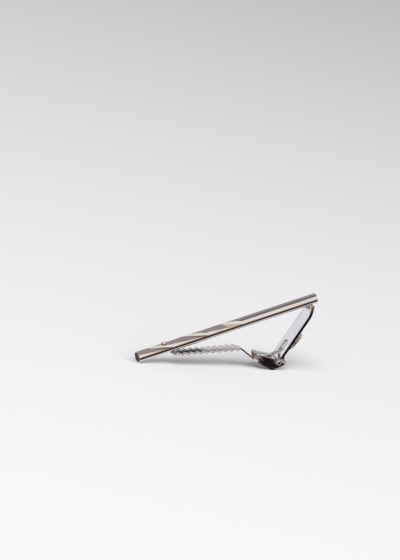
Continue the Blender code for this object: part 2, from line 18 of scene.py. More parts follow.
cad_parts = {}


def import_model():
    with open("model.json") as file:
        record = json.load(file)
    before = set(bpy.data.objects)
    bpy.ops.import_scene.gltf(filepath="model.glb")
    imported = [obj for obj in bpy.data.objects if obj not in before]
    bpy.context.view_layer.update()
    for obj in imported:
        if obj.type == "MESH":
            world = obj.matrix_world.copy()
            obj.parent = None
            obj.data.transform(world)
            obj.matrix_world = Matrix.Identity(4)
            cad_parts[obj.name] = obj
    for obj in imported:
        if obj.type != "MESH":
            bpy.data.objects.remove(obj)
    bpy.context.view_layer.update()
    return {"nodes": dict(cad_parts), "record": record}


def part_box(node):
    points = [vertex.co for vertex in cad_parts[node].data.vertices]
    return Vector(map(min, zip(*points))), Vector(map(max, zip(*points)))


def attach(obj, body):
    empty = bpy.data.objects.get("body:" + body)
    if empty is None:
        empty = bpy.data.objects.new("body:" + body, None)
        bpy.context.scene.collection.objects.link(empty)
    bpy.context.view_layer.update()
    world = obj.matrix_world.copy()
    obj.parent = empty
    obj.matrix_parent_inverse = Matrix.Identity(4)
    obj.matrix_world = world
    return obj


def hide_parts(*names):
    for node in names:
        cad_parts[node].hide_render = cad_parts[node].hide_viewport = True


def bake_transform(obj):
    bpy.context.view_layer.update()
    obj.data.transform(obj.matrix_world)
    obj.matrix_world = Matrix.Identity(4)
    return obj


logging.basicConfig(level=logging.INFO, format="%(message)s")
LOG = logging.getLogger("tie_clip")

ROD_LENGTH = 0.058
CRYSTAL_FROM_FREE_END = 0.0087


class Slot(Enum):
    """The record's material slots."""

    ROD = "rod_plating"
    CRYSTAL = "crystal"
    SETTING = "setting_plating"
    STRAP = "strap_plating"
    SOLDER = "solder"
    PIN = "pin_plating"
    LEVER = "lever_plating"
    SPRING = "spring_steel"


class Body(Enum):
    """The frame's moving bodies."""

    FRAME = "clip_frame"
    JAW = "jaw"


# ------------------------------------------------------------------ bench tools


def clear_selection() -> None:
    """Leaves object mode with nothing selected."""
    if bpy.context.mode != "OBJECT":
        bpy.ops.object.mode_set(mode="OBJECT")
    bpy.ops.object.select_all(action="DESELECT")


def pick(obj: bpy.types.Object) -> None:
    """Makes an object the only selected and the active one.

    Args:
        obj: the object.
    """
    clear_selection()
    obj.select_set(True)
    bpy.context.view_layer.objects.active = obj


def settle(obj: bpy.types.Object) -> None:
    """Puts an object's place into its mesh, so that the object sits at the origin.

    Args:
        obj: the object.
    """
    pick(obj)
    bpy.ops.object.transform_apply(location=True, rotation=True, scale=True)


def smooth(obj: bpy.types.Object, angle: float = 30.0) -> None:
    """Shades an object smooth across its shallow edges.

    Args:
        obj: the object.
        angle: the largest angle between faces that is smoothed, in degrees.
    """
    pick(obj)
    bpy.ops.object.shade_smooth_by_angle(angle=math.radians(angle))


def apply_modifiers(obj: bpy.types.Object) -> None:
    """Applies every modifier in order.

    Args:
        obj: the object that has them.
    """
    pick(obj)
    for modifier in list(obj.modifiers):
        bpy.ops.object.modifier_apply(modifier=modifier.name)


def select_faces(obj: bpy.types.Object, wanted: Callable[[Vector, Vector], bool]) -> None:
    """Enters edit mode with the wanted faces selected.

    Args:
        obj: the mesh to edit.
        wanted: takes a face's centre and normal, and says whether to select it.
    """
    pick(obj)
    bpy.ops.object.mode_set(mode="EDIT")
    bpy.ops.mesh.select_mode(type="FACE")
    bpy.ops.mesh.select_all(action="DESELECT")
    edited = bmesh.from_edit_mesh(obj.data)
    for face in edited.faces:
        face.select_set(wanted(face.calc_center_median(), face.normal))
    bmesh.update_edit_mesh(obj.data)


def leave_edit() -> None:
    """Goes back to object mode."""
    bpy.ops.object.mode_set(mode="OBJECT")


def cut_away(obj: bpy.types.Object, cutter: bpy.types.Object) -> None:
    """Subtracts cutter from obj and removes it.

    Args:
        obj: the piece that is cut.
        cutter: a closed mesh, removed afterwards.
    """
    cut = obj.modifiers.new("cut", "BOOLEAN")
    cut.operation = "DIFFERENCE"
    cut.solver = "EXACT"
    cut.object = cutter
    pick(obj)
    bpy.ops.object.modifier_apply(modifier=cut.name)
    bpy.data.objects.remove(cutter, do_unlink=True)


def round_edges(
    obj: bpy.types.Object, width: float, segments: int = 3, angle: float = 30.0
) -> None:
    """Rounds every edge sharper than an angle, as tumbling and plating do.

    Args:
        obj: the piece.
        width: the rounding's width.
        segments: faces across the rounding.
        angle: the smallest edge angle that is rounded, in degrees.
    """
    bevel = obj.modifiers.new("rounded edges", "BEVEL")
    bevel.width = width
    bevel.segments = segments
    bevel.limit_method = "ANGLE"
    bevel.angle_limit = math.radians(angle)
    bevel.miter_outer = "MITER_ARC"
    bevel.use_clamp_overlap = True
    apply_modifiers(obj)


def worked_copy(node: bpy.types.Object, name: str) -> bpy.types.Object:
    """A clean copy of a CAD node: corners merged and flat faces joined, ready for edge work.

    Args:
        node: the CAD node.
        name: the new piece's name.

    Returns:
        The new mesh object, at the origin.
    """
    clear_selection()
    copy = bpy.data.objects.new(name, node.data.copy())
    bpy.context.scene.collection.objects.link(copy)
    pick(copy)
    bpy.ops.object.mode_set(mode="EDIT")
    bpy.ops.mesh.select_all(action="SELECT")
    bpy.ops.mesh.remove_doubles(threshold=0.000002)
    bpy.ops.mesh.dissolve_limited(angle_limit=math.radians(1.0))
    bpy.ops.mesh.select_all(action="SELECT")
    bpy.ops.mesh.remove_doubles(threshold=0.000004)
    leave_edit()
    copy.data.materials.clear()
    return copy


@dataclass(frozen=True)
class RodFrame:
    """The rod's own directions in the row frame."""

    end: Vector
    along: Vector
    front: Vector

    @classmethod
    def from_record(cls, record: dict) -> "RodFrame":
        """Reads the rod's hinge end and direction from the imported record.

        Args:
            record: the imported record.

        Returns:
            The rod's frame.
        """
        mounts = {mount["name"]: mount for mount in record["mounts"]}
        end = mounts["rod_hinge_end"]
        along = Vector(end["axis"]).normalized()
        return cls(Vector(end["pos_m"]), along, Vector((-along.z, 0, along.x)))

    def matrix(self) -> Matrix:
        """Joins the rod's three directions and its hinge end.

        Returns:
            The turn and place from rod directions to the row frame.
        """
        across = Vector((0, 1, 0))
        turn = Matrix((self.along, across, self.front)).transposed().to_4x4()
        return Matrix.Translation(self.end) @ turn

    def turn_into_place(self, piece: bpy.types.Object, along: float = 0.0) -> None:
        """Turns a piece modelled in rod directions into the row frame, and settles it there.

        Args:
            piece: a piece whose object sits at the origin.
            along: how far to slide it along the rod first.
        """
        piece.matrix_world = self.matrix() @ Matrix.Translation((along, 0, 0))
        settle(piece)


# ------------------------------------------------------------------ shader groups


def new_group(
    name: str, inputs: dict[str, tuple[str, object]], outputs: dict[str, str]
) -> bpy.types.ShaderNodeTree:
    """Makes an empty shader group with named sockets.

    Args:
        name: the group's name.
        inputs: socket name to (socket type, default value).
        outputs: socket name to socket type.

    Returns:
        The group, with its input and output nodes in place.
    """
    group = bpy.data.node_groups.new(name, "ShaderNodeTree")
    for label, (kind, default) in inputs.items():
        socket = group.interface.new_socket(label, in_out="INPUT", socket_type=kind)
        socket.default_value = default
    for label, kind in outputs.items():
        group.interface.new_socket(label, in_out="OUTPUT", socket_type=kind)
    group.nodes.new("NodeGroupInput")
    group.nodes.new("NodeGroupOutput")
    return group


def value_map(
    tree: bpy.types.NodeTree, source: bpy.types.NodeSocket, low: float, high: float
) -> bpy.types.NodeSocket:
    """Turns a value into a mask that fades smoothly from 0 to 1.

    Args:
        tree: the node tree.
        source: the value socket.
        low: the source value that gives 0.
        high: the source value that gives 1.

    Returns:
        The mask's socket.
    """
    node = tree.nodes.new("ShaderNodeMapRange")
    node.interpolation_type = "SMOOTHSTEP"
    node.inputs["From Min"].default_value = low
    node.inputs["From Max"].default_value = high
    tree.links.new(source, node.inputs["Value"])
    return node.outputs["Result"]


def math_node(
    tree: bpy.types.NodeTree, operation: str, first: object, second: object = 0.0
) -> bpy.types.NodeSocket:
    """One sum on two numbers or sockets.

    Args:
        tree: the node tree.
        operation: the Math node's operation.
        first: a number or a socket.
        second: a number or a socket.

    Returns:
        The result's socket.
    """
    node = tree.nodes.new("ShaderNodeMath")
    node.operation = operation
    for index, wanted in enumerate((first, second)):
        if isinstance(wanted, bpy.types.NodeSocket):
            tree.links.new(wanted, node.inputs[index])
        else:
            node.inputs[index].default_value = wanted
    return node.outputs[0]


@dataclass
class PlatingWear:
    """The shader group that gives plated metal its fine scratches, haze and tone."""

    cloud_scale: float = 260.0
    cloud_detail: float = 4.0
    cloud_range: tuple[float, float] = (0.42, 0.68)
    scratch_detail: float = 3.0
    scratch_range: tuple[float, float] = (0.35, 0.7)
    scratch_share: float = 0.5
    group: bpy.types.ShaderNodeTree = field(init=False)

    def __post_init__(self) -> None:
        """Builds the group once."""
        self.group = new_group(
            "plating_wear",
            {
                "Colour": ("NodeSocketColor", (0.7, 0.7, 0.7, 1.0)),
                "Warm Colour": ("NodeSocketColor", (0.6, 0.5, 0.4, 1.0)),
                "Roughness": ("NodeSocketFloat", 0.1),
                "Haze": ("NodeSocketFloat", 0.1),
                "Grain Scale": ("NodeSocketFloat", 4000.0),
                "Grain Stretch": ("NodeSocketFloat", 12.0),
                "Warmth": ("NodeSocketFloat", 0.2),
            },
            {
                "Colour": "NodeSocketColor",
                "Roughness": "NodeSocketFloat",
                "Height": "NodeSocketFloat",
            },
        )
        tree = self.group
        entry = next(node for node in tree.nodes if node.type == "GROUP_INPUT")
        out = next(node for node in tree.nodes if node.type == "GROUP_OUTPUT")
        coords = tree.nodes.new("ShaderNodeTexCoord")
        grain = self._stretched_noise(tree, entry, coords)
        cloud = tree.nodes.new("ShaderNodeTexNoise")
        cloud.inputs["Scale"].default_value = self.cloud_scale
        cloud.inputs["Detail"].default_value = self.cloud_detail
        tree.links.new(coords.outputs["Object"], cloud.inputs["Vector"])
        haze = value_map(tree, cloud.outputs["Fac"], *self.cloud_range)
        tone = tree.nodes.new("ShaderNodeMix")
        tone.data_type = "RGBA"
        warmed = math_node(tree, "MULTIPLY", haze, entry.outputs["Warmth"])
        tree.links.new(warmed, tone.inputs[0])
        tree.links.new(entry.outputs["Colour"], tone.inputs[6])
        tree.links.new(entry.outputs["Warm Colour"], tone.inputs[7])
        tree.links.new(tone.outputs[2], out.inputs["Colour"])
        streaks = math_node(tree, "MULTIPLY", grain, self.scratch_share)
        marks = math_node(tree, "ADD", haze, streaks)
        rougher = math_node(tree, "MULTIPLY", marks, entry.outputs["Haze"])
        rough = math_node(tree, "ADD", entry.outputs["Roughness"], rougher)
        tree.links.new(rough, out.inputs["Roughness"])
        tree.links.new(grain, out.inputs["Height"])

    def _stretched_noise(
        self, tree: bpy.types.NodeTree, entry: bpy.types.Node, coords: bpy.types.Node
    ) -> bpy.types.NodeSocket:
        """Fine scratches, drawn out along the clip.

        Args:
            tree: the group.
            entry: the group's input node.
            coords: the texture coordinate node.

        Returns:
            The scratches' value socket.
        """
        squeeze = tree.nodes.new("ShaderNodeCombineXYZ")
        narrowed = math_node(tree, "DIVIDE", 1.0, entry.outputs["Grain Stretch"])
        tree.links.new(narrowed, squeeze.inputs["X"])
        squeeze.inputs["Y"].default_value = 1.0
        squeeze.inputs["Z"].default_value = 1.0
        stretched = tree.nodes.new("ShaderNodeVectorMath")
        stretched.operation = "MULTIPLY"
        tree.links.new(coords.outputs["Object"], stretched.inputs[0])
        tree.links.new(squeeze.outputs["Vector"], stretched.inputs[1])
        noise = tree.nodes.new("ShaderNodeTexNoise")
        noise.inputs["Detail"].default_value = self.scratch_detail
        tree.links.new(entry.outputs["Grain Scale"], noise.inputs["Scale"])
        tree.links.new(stretched.outputs["Vector"], noise.inputs["Vector"])
        return value_map(tree, noise.outputs["Fac"], *self.scratch_range)

    def add_to(self, tree: bpy.types.NodeTree) -> bpy.types.Node:
        """Places the group in a material.

        Args:
            tree: the material's node tree.

        Returns:
            The group's node.
        """
        node = tree.nodes.new("ShaderNodeGroup")
        node.node_tree = self.group
        return node


# ------------------------------------------------------------------ finishes


@dataclass(frozen=True)
class PaintedDarkReflection:
    """A painted dark reflection: a dark middle for a toothed strip, inside its zigzag edge."""

    first_tip: float
    pitch: float
    full_dark: float
    clear: float
    root_width: float = 0.0022
    tip_width: float = 0.0042
    bright_rim: float = 0.0005
    fade: float = 0.00025
    # the painted reflection's dark colour
    colour: tuple[float, float, float] = (0.05, 0.046, 0.05)

    def darken(
        self, tree: bpy.types.NodeTree, colour: bpy.types.NodeSocket
    ) -> bpy.types.NodeSocket:
        """Paints the dark reflection into a metal's colour.

        Args:
            tree: the material's node tree.
            colour: the metal's colour.

        Returns:
            The colour with the painted dark reflection.
        """
        coords = tree.nodes.new("ShaderNodeTexCoord")
        split = tree.nodes.new("ShaderNodeSeparateXYZ")
        tree.links.new(coords.outputs["Object"], split.inputs["Vector"])
        from_tip = math_node(tree, "SUBTRACT", split.outputs["X"], self.first_tip)
        from_tip = math_node(tree, "PINGPONG", from_tip, self.pitch / 2)
        slant = (self.tip_width - self.root_width) / self.pitch
        half = math_node(
            tree, "SUBTRACT", self.tip_width / 2 - self.bright_rim,
            math_node(tree, "MULTIPLY", from_tip, slant),
        )
        off_centre = math_node(tree, "ABSOLUTE", split.outputs["Y"])
        inside = math_node(tree, "SUBTRACT", half, off_centre)
        mask = math_node(
            tree, "MULTIPLY", value_map(tree, inside, 0.0, self.fade),
            value_map(tree, split.outputs["X"], self.clear, self.full_dark),
        )
        mix = tree.nodes.new("ShaderNodeMix")
        mix.data_type = "RGBA"
        tree.links.new(mask, mix.inputs[0])
        tree.links.new(colour, mix.inputs[6])
        mix.inputs[7].default_value = (*self.colour, 1.0)
        return mix.outputs[2]


@dataclass(frozen=True)
class Plating:
    """A plated metal finish."""

    name: str
    colour: tuple[float, float, float]
    warm: tuple[float, float, float] = (0.52, 0.40, 0.31)
    roughness: float = 0.09
    haze: float = 0.06
    warmth: float = 0.15
    grain_scale: float = 4200.0
    grain_stretch: float = 14.0
    bump: float = 0.02
    bump_distance: float = 0.00002
    # a painted dark reflection laid into the colour, if any
    painted_reflection: PaintedDarkReflection | None = None

    def make(self, wear: PlatingWear) -> bpy.types.Material:
        """Builds the material.

        Args:
            wear: the shared wear group.

        Returns:
            The material.
        """
        material = bpy.data.materials.new(self.name)
        material.use_nodes = True
        tree = material.node_tree
        shader = tree.nodes["Principled BSDF"]
        shader.inputs["Metallic"].default_value = 1.0
        worn = wear.add_to(tree)
        worn.inputs["Colour"].default_value = (*self.colour, 1.0)
        worn.inputs["Warm Colour"].default_value = (*self.warm, 1.0)
        worn.inputs["Roughness"].default_value = self.roughness
        worn.inputs["Haze"].default_value = self.haze
        worn.inputs["Grain Scale"].default_value = self.grain_scale
        worn.inputs["Grain Stretch"].default_value = self.grain_stretch
        worn.inputs["Warmth"].default_value = self.warmth
        colour = worn.outputs["Colour"]
        # paints the dark reflection into the colour
        if self.painted_reflection:
            colour = self.painted_reflection.darken(tree, colour)
        tree.links.new(colour, shader.inputs["Base Color"])
        tree.links.new(worn.outputs["Roughness"], shader.inputs["Roughness"])
        bump = tree.nodes.new("ShaderNodeBump")
        bump.inputs["Strength"].default_value = self.bump
        bump.inputs["Distance"].default_value = self.bump_distance
        tree.links.new(worn.outputs["Height"], bump.inputs["Height"])
        tree.links.new(bump.outputs["Normal"], shader.inputs["Normal"])
        return material


@dataclass(frozen=True)
class CrystalFinish:
    """Clear cut glass with a faint pink and lilac fire, painted into its colour as patches."""

    name: str = "cut_crystal"
    roughness: float = 0.02
    ior: float = 1.7
    clearness: float = 0.55
    painted_fire_scale: float = 2600.0
    pink: tuple[float, float, float] = (0.95, 0.55, 0.62)
    lilac: tuple[float, float, float] = (0.86, 0.82, 0.97)
    clear: tuple[float, float, float] = (0.97, 0.97, 1.0)
    colour_stops: tuple[float, float, float] = (0.12, 0.3, 0.42)

    def make(self) -> bpy.types.Material:
        """Builds the material.

        Returns:
            The material.
        """
        material = bpy.data.materials.new(self.name)
        material.use_nodes = True
        tree = material.node_tree
        shader = tree.nodes["Principled BSDF"]
        shader.inputs["Roughness"].default_value = self.roughness
        shader.inputs["IOR"].default_value = self.ior
        shader.inputs["Transmission Weight"].default_value = self.clearness
        coords = tree.nodes.new("ShaderNodeTexCoord")
        # painted fire: pink, lilac and clear patches laid into the glass's colour
        fire = tree.nodes.new("ShaderNodeTexVoronoi")
        fire.inputs["Scale"].default_value = self.painted_fire_scale
        tree.links.new(coords.outputs["Object"], fire.inputs["Vector"])
        ramp = tree.nodes.new("ShaderNodeValToRGB")
        stops = ramp.color_ramp.elements
        low, middle, high = self.colour_stops
        stops[0].color, stops[0].position = (*self.pink, 1.0), low
        stops[1].color, stops[1].position = (*self.clear, 1.0), high
        stops.new(middle).color = (*self.lilac, 1.0)
        tree.links.new(fire.outputs["Distance"], ramp.inputs["Fac"])
        tree.links.new(ramp.outputs["Color"], shader.inputs["Base Color"])
        return material


@dataclass
class Workshop:
    """What a sub-assembly needs: the frame's nodes, the rod's directions and the wear group."""

    nodes: dict[str, bpy.types.Object]
    rod: RodFrame
    wear: PlatingWear

    def mount(
        self, piece: bpy.types.Object, node: str, body: Body, slot: Slot,
        material: bpy.types.Material
    ) -> bpy.types.Object:
        """Dresses a piece, hides its CAD node and lets it ride on its body.

        Args:
            piece: the finished mesh.
            node: the CAD node that it stands for.
            body: the body it moves with.
            slot: the record's material slot; not used.
            material: its finish.

        Returns:
            The piece.
        """
        piece.data.materials.clear()
        piece.data.materials.append(material)
        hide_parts(node)
        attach(piece, body.value)
        return piece


# ------------------------------------------------------------------ front rod


@dataclass
class FrontRod:
    """The round rod, with three diagonal wedge cuts towards its free end.

    It is modelled lying along X with its hinge end at the origin, then turned into place.
    """

    shop: Workshop
    length: float = ROD_LENGTH
    radius: float = 0.0015
    sides: int = 144
    cut_count: int = 3
    cut_first: float = 0.0111
    cut_pitch: float = 0.01145
    cut_run: float = 0.0075
    cut_far_angle: float = 60.0
    cut_near_angle: float = 170.0
    cut_slope: float = 3.5
    cut_wall_lean: float = 0.45
    block_reach: float = 0.04
    block_width: float = 0.012
    block_height: float = 0.004
    edge_round: float = 0.00011
    end_chamfer: float = 0.00012
    seat_from_free_end: float = CRYSTAL_FROM_FREE_END
    seat_sides: int = 48
    sharpest_kept: float = 14.0
    seat_radius: float = 0.00088
    seat_depth: float = 0.00032

    def build(self) -> bpy.types.Object:
        """Models and dresses the rod.

        Returns:
            The rod.
        """
        bpy.ops.mesh.primitive_cylinder_add(
            vertices=self.sides, radius=self.radius, depth=self.length,
            location=(-self.length / 2, 0, 0), rotation=(0, math.radians(90), 0),
        )
        rod = bpy.context.active_object
        rod.name = "polished_rod"
        settle(rod)
        self._chamfer_ends(rod)
        for index in range(self.cut_count):
            cut_away(rod, self._wedge(index))
        cut_away(rod, self._seat())
        round_edges(rod, self.edge_round, segments=2, angle=self.sharpest_kept)
        self.shop.rod.turn_into_place(rod)
        smooth(rod, 20.0)
        finish = Plating("mirror_nickel", (0.74, 0.71, 0.685), roughness=0.055, haze=0.03)
        return self.shop.mount(rod, "front_rod", Body.FRAME, Slot.ROD, finish.make(self.shop.wear))

    def _chamfer_ends(self, rod: bpy.types.Object) -> None:
        """Breaks the sharp edge at each end.

        Args:
            rod: the plain rod, lying along X.
        """
        select_faces(rod, lambda centre, normal: abs(normal.x) > 0.9)
        bpy.ops.mesh.bevel(offset=self.end_chamfer, segments=1, affect="EDGES")
        leave_edit()

    def _wedge(self, index: int) -> bpy.types.Object:
        """A block laid along one cut's deep line, tilted to the cut's flat, its wall leant back.

        Args:
            index: 0 for the cut nearest the free end.

        Returns:
            The block.
        """
        far = self._round_point(self.cut_far_angle)
        near = self._round_point(self.cut_near_angle)
        corner = Vector((self.cut_first + index * self.cut_pitch - self.length, near.x, near.y))
        across, drop = far.x - near.x, far.y - near.y
        line = Vector((self.cut_run, -across, -drop)).normalized()
        slope = math.tan(math.radians(self.cut_slope))
        lean = self.cut_run * slope / math.hypot(across, drop)
        tilt = math.acos(lean) - math.atan2(across, drop)
        normal = Vector((slope, -math.sin(tilt), math.cos(tilt))).normalized()
        sideways = normal.cross(line).normalized()
        if sideways.x > 0:
            sideways.negate()
        line = sideways.cross(normal)
        turn = Matrix((line, sideways, normal)).transposed()
        bpy.ops.mesh.primitive_cube_add(size=1)
        block = bpy.context.active_object
        block.scale = (self.block_reach, self.block_width, self.block_height)
        settle(block)
        self._lean_wall(block)
        middle = corner + sideways * (self.block_width / 2) + normal * (self.block_height / 2)
        block.matrix_world = Matrix.Translation(middle) @ turn.to_4x4()
        settle(block)
        return block

    def _lean_wall(self, block: bpy.types.Object) -> None:
        """Leans the block's steep wall back, by moving the wall's upper edge.

        Args:
            block: the wedge's block, square to the axes about the origin.
        """
        pick(block)
        bpy.ops.object.mode_set(mode="EDIT")
        bpy.ops.mesh.select_mode(type="VERT")
        bpy.ops.mesh.select_all(action="DESELECT")
        edited = bmesh.from_edit_mesh(block.data)
        for vertex in edited.verts:
            vertex.select_set(vertex.co.y < 0 < vertex.co.z)
        edited.select_flush(True)
        bmesh.update_edit_mesh(block.data)
        bpy.ops.transform.translate(value=(0, -self.cut_wall_lean * self.block_height, 0))
        leave_edit()

    def _round_point(self, degrees: float) -> Vector:
        """A point on the rod's round.

        Args:
            degrees: how far round the rod it lies.

        Returns:
            The point, across and out.
        """
        angle = math.radians(degrees)
        return Vector((math.cos(angle), math.sin(angle))) * self.radius

    def _seat(self) -> bpy.types.Object:
        """The round spot face under the crystal's setting.

        Returns:
            The cutter.
        """
        floor = self.radius - self.seat_depth
        bpy.ops.mesh.primitive_cylinder_add(
            vertices=self.seat_sides, radius=self.seat_radius, depth=self.radius,
            location=(self.seat_from_free_end - self.length, 0, floor + self.radius / 2),
        )
        seat = bpy.context.active_object
        settle(seat)
        return seat


# ------------------------------------------------------------------ crystal and setting


@dataclass
class CrystalSetting:
    """A cut crystal in a small collar with claws."""

    shop: Workshop
    from_free_end: float = CRYSTAL_FROM_FREE_END
    rod_length: float = ROD_LENGTH
    floor: float = 0.00122
    collar_height: float = 0.00044
    collar_radius: float = 0.00082
    collar_shrink: float = 0.00006
    collar_sides: int = 64
    collar_round: float = 0.00004
    rim_width: float = 0.0001
    well_slope: float = 0.00012
    well_depth: float = 0.00018
    crystal_radius: float = 0.00052
    table_radius: float = 0.0003
    crown_height: float = 0.00024
    pavilion_depth: float = 0.00034
    girdle_band: float = 0.00005
    lower_crown_share: float = 0.62
    culet_share: float = 0.12
    facets: int = 8
    claw_count: int = 4
    claw_radius: float = 0.00011
    claw_stretch: float = 1.8
    claw_outset: float = 0.8
    claw_rise: float = 0.4

    def build(self) -> list[bpy.types.Object]:
        """Models and dresses the collar and the crystal.

        Returns:
            The two pieces.
        """
        return [self._collar(), self._crystal()]

    def _crystal(self) -> bpy.types.Object:
        """A brilliant cut: table, star facets, crown, girdle and pavilion.

        Returns:
            The crystal.
        """
        girdle = self.floor + self.collar_height + self.girdle_band
        bpy.ops.mesh.primitive_cylinder_add(
            vertices=2 * self.facets, radius=self.crystal_radius, depth=self.girdle_band,
            location=(0, 0, girdle),
        )
        stone = bpy.context.active_object
        stone.name = "cut_crystal"
        settle(stone)
        select_faces(stone, lambda centre, normal: normal.z > 0.9)
        bpy.ops.mesh.extrude_region_move(
            TRANSFORM_OT_translate={"value": (0, 0, self.lower_crown_share * self.crown_height)}
        )
        middle = 0.5 * (1 + self.table_radius / self.crystal_radius)
        bpy.ops.transform.resize(value=(middle, middle, 1), center_override=(0, 0, girdle))
        bpy.ops.transform.rotate(
            value=math.pi / (2 * self.facets), orient_axis="Z", center_override=(0, 0, girdle)
        )
        upper_crown = (1 - self.lower_crown_share) * self.crown_height
        bpy.ops.mesh.extrude_region_move(TRANSFORM_OT_translate={"value": (0, 0, upper_crown)})
        share = self.table_radius / self.crystal_radius / middle
        bpy.ops.transform.resize(value=(share, share, 1), center_override=(0, 0, girdle))
        leave_edit()
        select_faces(stone, lambda centre, normal: normal.z < -0.9)
        bpy.ops.mesh.extrude_region_move(
            TRANSFORM_OT_translate={"value": (0, 0, -self.pavilion_depth)}
        )
        culet = (self.culet_share, self.culet_share, 1)
        bpy.ops.transform.resize(value=culet, center_override=(0, 0, girdle))
        bpy.ops.mesh.select_all(action="SELECT")
        bpy.ops.mesh.normals_make_consistent(inside=False)
        leave_edit()
        self.shop.rod.turn_into_place(stone, self.from_free_end - self.rod_length)
        finish = CrystalFinish().make()
        return self.shop.mount(stone, "crystal", Body.FRAME, Slot.CRYSTAL, finish)

    def _collar(self) -> bpy.types.Object:
        """A turned collar with a well for the stone, and a claw at each corner.

        Returns:
            The collar.
        """
        height = self.collar_height
        bpy.ops.mesh.primitive_cylinder_add(
            vertices=self.collar_sides, radius=self.collar_radius - self.collar_shrink,
            depth=height, location=(0, 0, self.floor + height / 2),
        )
        collar = bpy.context.active_object
        collar.name = "crystal_collar"
        settle(collar)
        select_faces(collar, lambda centre, normal: normal.z > 0.9)
        bpy.ops.mesh.inset(thickness=self.rim_width)
        bpy.ops.mesh.inset(thickness=self.well_slope)
        bpy.ops.transform.translate(value=(0, 0, -self.well_depth))
        leave_edit()
        round_edges(collar, self.collar_round)
        for index in range(self.claw_count):
            self._join_claw(collar, index)
        self.shop.rod.turn_into_place(collar, self.from_free_end - self.rod_length)
        smooth(collar, 35.0)
        warm = Plating("warm_collar", (0.62, 0.47, 0.36), roughness=0.12, warmth=0.35)
        return self.shop.mount(
            collar, "crystal_setting", Body.FRAME, Slot.SETTING, warm.make(self.shop.wear)
        )

    def _join_claw(self, collar: bpy.types.Object, index: int) -> None:
        """Adds one claw that leans in over the crystal's edge.

        Args:
            collar: the collar to join it to.
            index: which claw.
        """
        angle = math.radians(45 + 360 * index / self.claw_count)
        ring = self.crystal_radius + self.claw_outset * self.claw_radius
        height = self.floor + self.collar_height + self.claw_rise * self.claw_radius
        bpy.ops.mesh.primitive_uv_sphere_add(
            segments=16, ring_count=10, radius=self.claw_radius,
            location=(ring * math.cos(angle), ring * math.sin(angle), height),
        )
        claw = bpy.context.active_object
        claw.scale = (1.0, 1.0, self.claw_stretch)
        settle(claw)
        union = collar.modifiers.new("claw", "BOOLEAN")
        union.operation = "UNION"
        union.solver = "EXACT"
        union.object = claw
        apply_modifiers(collar)
        bpy.data.objects.remove(claw, do_unlink=True)


# ------------------------------------------------------------------ back


@dataclass
class BackStrap:
    """The strap soldered to the rod, with its slot and its rolled knuckle."""

    shop: Workshop
    edge_round: float = 0.00009
    bead_round: float = 0.00007

    def build(self) -> list[bpy.types.Object]:
        """Models and dresses the strap and the solder in its corner.

        Returns:
            The two pieces.
        """
        strap = worked_copy(self.shop.nodes["back_strap"], "bent_strap")
        round_edges(strap, self.edge_round, angle=38.0)
        smooth(strap, 32.0)
        plate = Plating(
            "strap_nickel", (0.80, 0.78, 0.785), roughness=0.09, haze=0.04, warmth=0.10,
            grain_stretch=5.0,
        )
        self.shop.mount(strap, "back_strap", Body.FRAME, Slot.STRAP, plate.make(self.shop.wear))
        return [strap, self._solder()]

    def _solder(self) -> bpy.types.Object:
        """The fillet, softened as solder sets.

        Returns:
            The fillet.
        """
        fillet = worked_copy(self.shop.nodes["solder_fillet"], "solder_bead")
        round_edges(fillet, self.bead_round, angle=25.0)
        smooth(fillet, 60.0)
        flowed = Plating(
            "flowed_solder", (0.80, 0.78, 0.78), roughness=0.20, haze=0.05,
            grain_scale=1500.0, grain_stretch=1.0, bump=0.04,
        )
        return self.shop.mount(
            fillet, "solder_fillet", Body.FRAME, Slot.SOLDER, flowed.make(self.shop.wear)
        )


# ------------------------------------------------------------------ jaw


@dataclass
class JawLever:
    """The toothed jaw, its ears and thumb tab, and the rivet it turns on."""

    shop: Workshop
    edge_round: float = 0.00006
    rivet_round: float = 0.00008
    tooth_pitch: float = 0.00199
    # how far from the nose the painted dark reflection is full, and where it has faded out
    dark_run: float = 0.0085
    clear_run: float = 0.0120

    def build(self) -> list[bpy.types.Object]:
        """Models and dresses the lever and its rivet.

        Returns:
            The two pieces.
        """
        lever = worked_copy(self.shop.nodes["jaw_lever"], "toothed_lever")
        round_edges(lever, self.edge_round, segments=2, angle=38.0)
        smooth(lever, 32.0)
        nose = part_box("jaw_lever")[0].x
        # painted dark reflection down the jaw's middle between its teeth, darkest towards the nose
        painted_reflection = PaintedDarkReflection(
            first_tip=nose + self.tooth_pitch / 2, pitch=self.tooth_pitch,
            full_dark=nose + self.dark_run, clear=nose + self.clear_run,
        )
        stamped = Plating(
            "stamped_nickel", (0.74, 0.71, 0.70), roughness=0.10, haze=0.06, warmth=0.18,
            grain_stretch=3.0, bump=0.04, painted_reflection=painted_reflection,
        )
        self.shop.mount(lever, "jaw_lever", Body.JAW, Slot.LEVER, stamped.make(self.shop.wear))
        rivet = worked_copy(self.shop.nodes["hinge_pin"], "hinge_rivet")
        round_edges(rivet, self.rivet_round, angle=25.0)
        smooth(rivet, 40.0)
        turned = Plating("rivet_nickel", (0.72, 0.70, 0.68), roughness=0.14, haze=0.08)
        self.shop.mount(rivet, "hinge_pin", Body.JAW, Slot.PIN, turned.make(self.shop.wear))
        return [lever, rivet]


@dataclass
class WishboneSpring:
    """The forked leaf spring, between the strap and the jaw's ears."""

    shop: Workshop
    edge_round: float = 0.00004
    bend_from_tip: float = 0.0004
    bend_to: float = 0.0048
    bend_height: float = 0.002

    def build(self) -> list[bpy.types.Object]:
        """Models and dresses the spring.

        Returns:
            The spring, as a list of one.
        """
        spring = worked_copy(self.shop.nodes["wishbone_spring"], "wishbone_leaf")
        round_edges(spring, self.edge_round, segments=2, angle=38.0)
        smooth(spring, 32.0)
        bright = Plating(
            "bright_spring_steel", (0.78, 0.77, 0.76), roughness=0.16, haze=0.08,
            grain_stretch=8.0, bump=0.06,
        )
        spring.data.materials.append(bright.make(self.shop.wear))
        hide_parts("wishbone_spring")
        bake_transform(spring)
        return [spring]


# ------------------------------------------------------------------ studio


